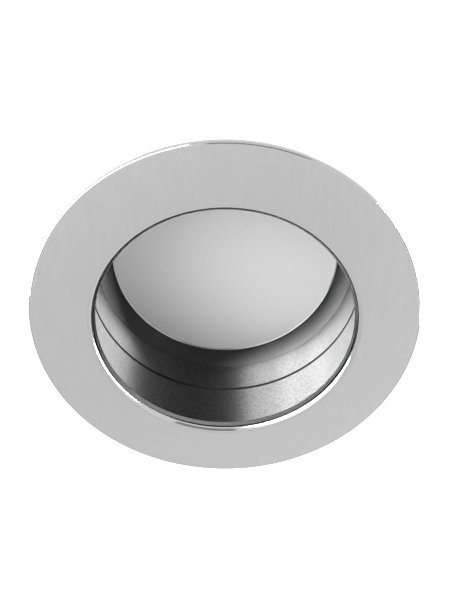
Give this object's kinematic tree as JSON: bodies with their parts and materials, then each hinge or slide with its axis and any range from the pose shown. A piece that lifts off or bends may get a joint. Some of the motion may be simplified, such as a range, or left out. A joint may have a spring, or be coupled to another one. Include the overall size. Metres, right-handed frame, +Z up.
{
  "type": "pocket door pull",
  "caption": "Round flush pull for a pocket door, with a flat flange, a rounded finger opening and a deep undercut recess behind it.",
  "frame": {"origin": "on the pull's axis, in the plane where the flange's back lies on the face of the door", "axes": "+Y along the axis into the door, the front looks along -Y, +Z up on the door, X across it"},
  "size_m": [0.065, 0.027, 0.065],
  "materials": {
    "satin_face": "fine satin, straight grain on the flange, bright at the rounded lip and rim",
    "satin_cup": "fine satin with a soft mottled grain on the wall and an even floor"
  },
  "bodies": {
    "root": {"face_ring": "satin_face", "rear_cup": "satin_cup"}
  },
  "joints": []
}
